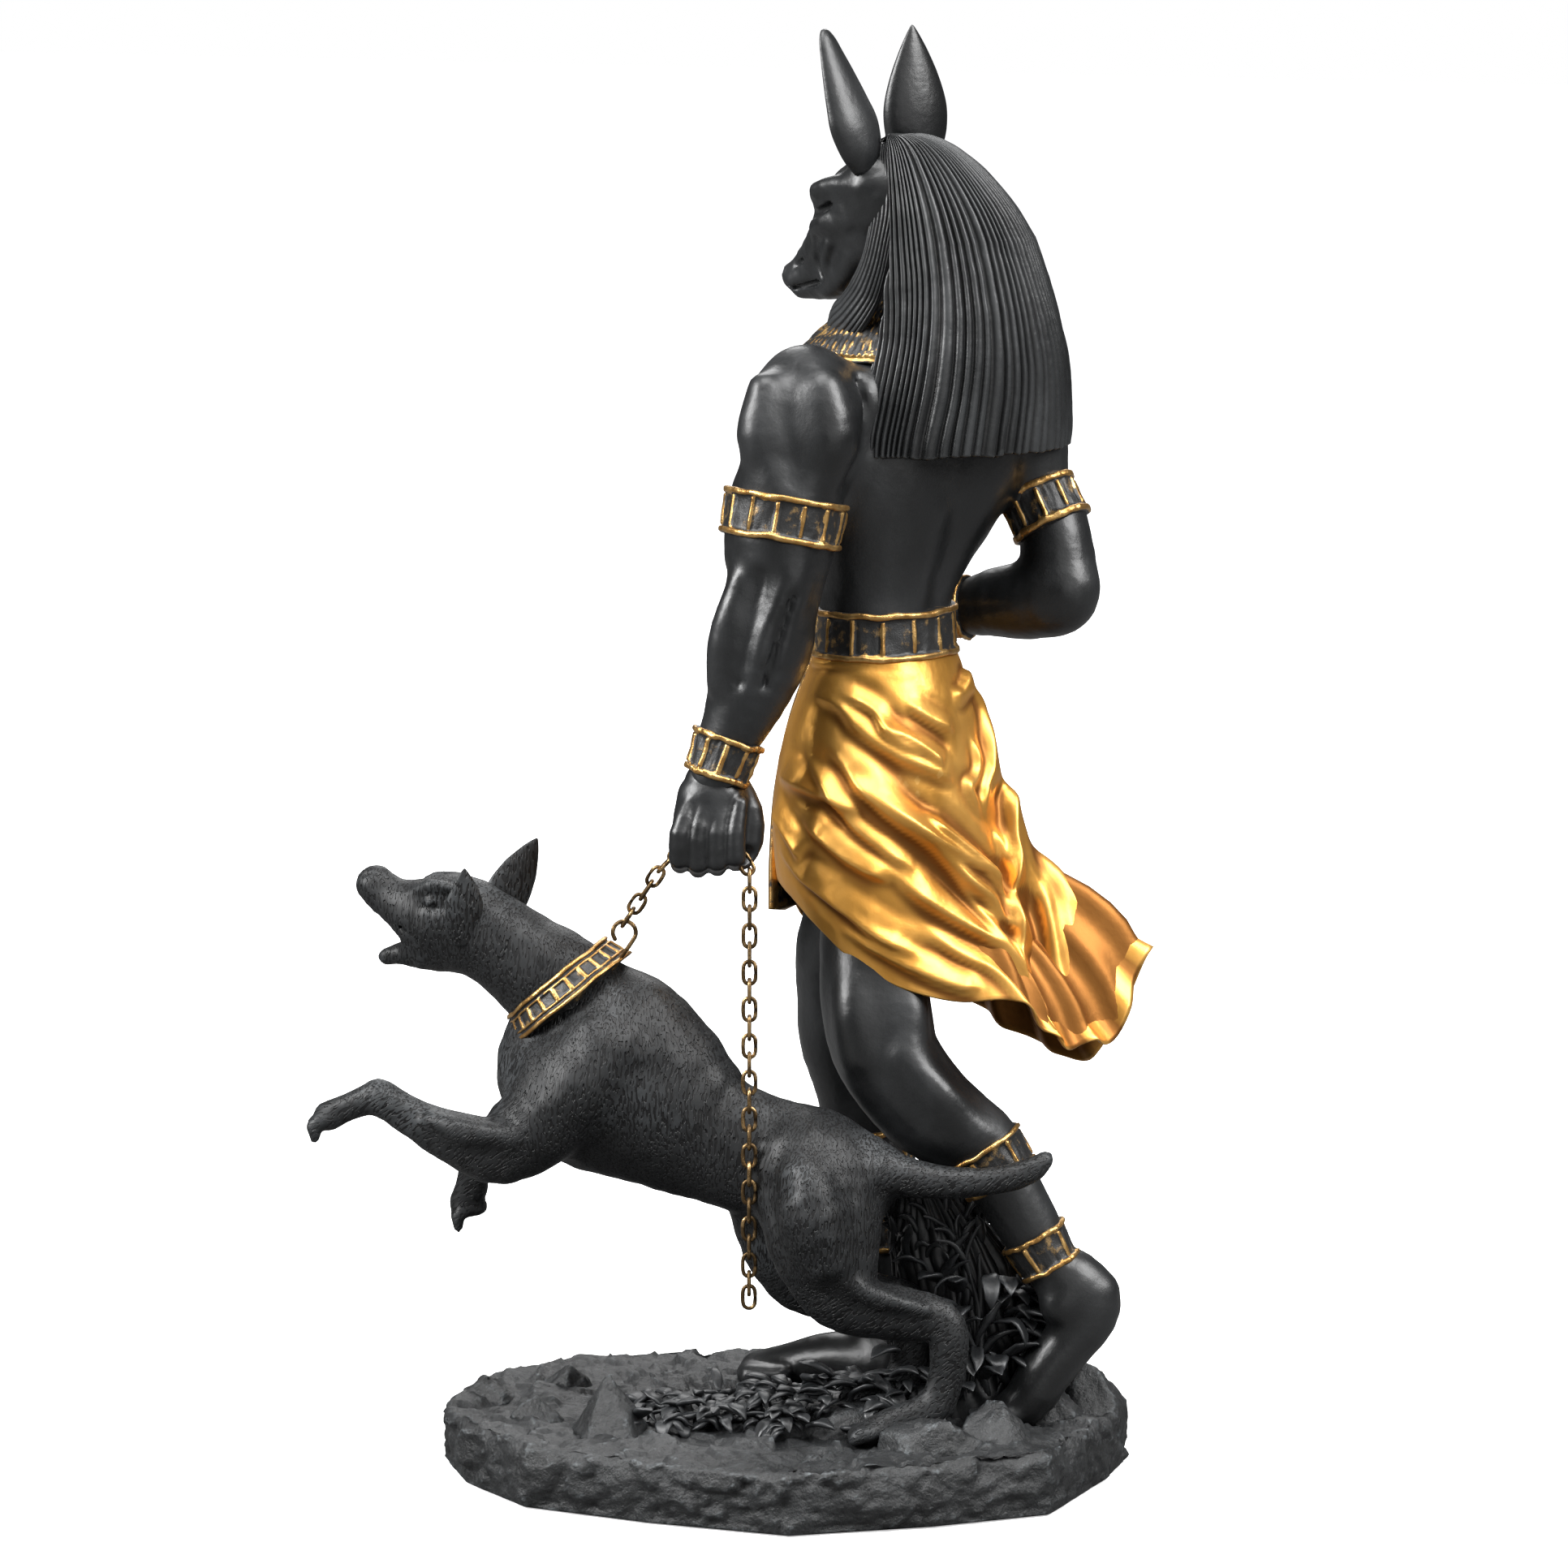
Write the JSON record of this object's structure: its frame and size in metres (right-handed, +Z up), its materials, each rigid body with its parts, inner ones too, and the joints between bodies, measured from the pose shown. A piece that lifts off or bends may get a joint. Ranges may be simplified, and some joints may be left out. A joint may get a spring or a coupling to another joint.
{
  "type": "anubis statuette",
  "caption": "Resin statuette of a striding jackal-headed man in a gold kilt leading a leaping hound on a chain, on a rocky base.",
  "frame": {"origin": "middle of the base's flat underside", "axes": "+Z up; the man and the hound stride along -Y; +X to their left"},
  "size_m": [0.1132, 0.1507, 0.29],
  "materials": {
    "satin_black": "cast resin painted satin charcoal black, lighter where rubbed",
    "fur_black": "cast resin, matte black with grey dry-brushed engraved fur",
    "rock_black": "cast resin, flat charcoal, rough and chipped",
    "gold_paint": "metallic gold paint, brown in the recesses",
    "aged_brass": "antiqued brass plate, dark in the hollows"
  },
  "bodies": {
    "root": {"base": "rock_black", "figure": "satin_black", "hound": "fur_black", "collar_eye": "aged_brass", "chain_link_01": "aged_brass", "chain_link_02": "aged_brass", "chain_link_03": "aged_brass", "chain_link_04": "aged_brass", "chain_link_05": "aged_brass", "chain_link_06": "aged_brass", "chain_link_07": "aged_brass", "chain_link_08": "aged_brass", "chain_link_09": "aged_brass", "chain_link_10": "aged_brass", "chain_link_11": "aged_brass", "chain_link_12": "aged_brass", "chain_link_13": "aged_brass", "chain_link_14": "aged_brass", "chain_link_15": "aged_brass", "chain_link_16": "aged_brass", "chain_link_17": "aged_brass", "chain_link_18": "aged_brass", "chain_link_19": "aged_brass", "chain_link_20": "aged_brass", "chain_link_21": "aged_brass", "chain_link_22": "aged_brass", "chain_link_23": "aged_brass", "chain_link_24": "aged_brass", "chain_link_25": "aged_brass", "chain_link_26": "aged_brass", "chain_link_27": "aged_brass", "chain_link_28": "aged_brass", "chain_link_29": "aged_brass", "chain_link_30": "aged_brass", "chain_link_31": "aged_brass", "chain_link_32": "aged_brass", "chain_link_33": "aged_brass", "chain_link_34": "aged_brass"}
  },
  "joints": []
}
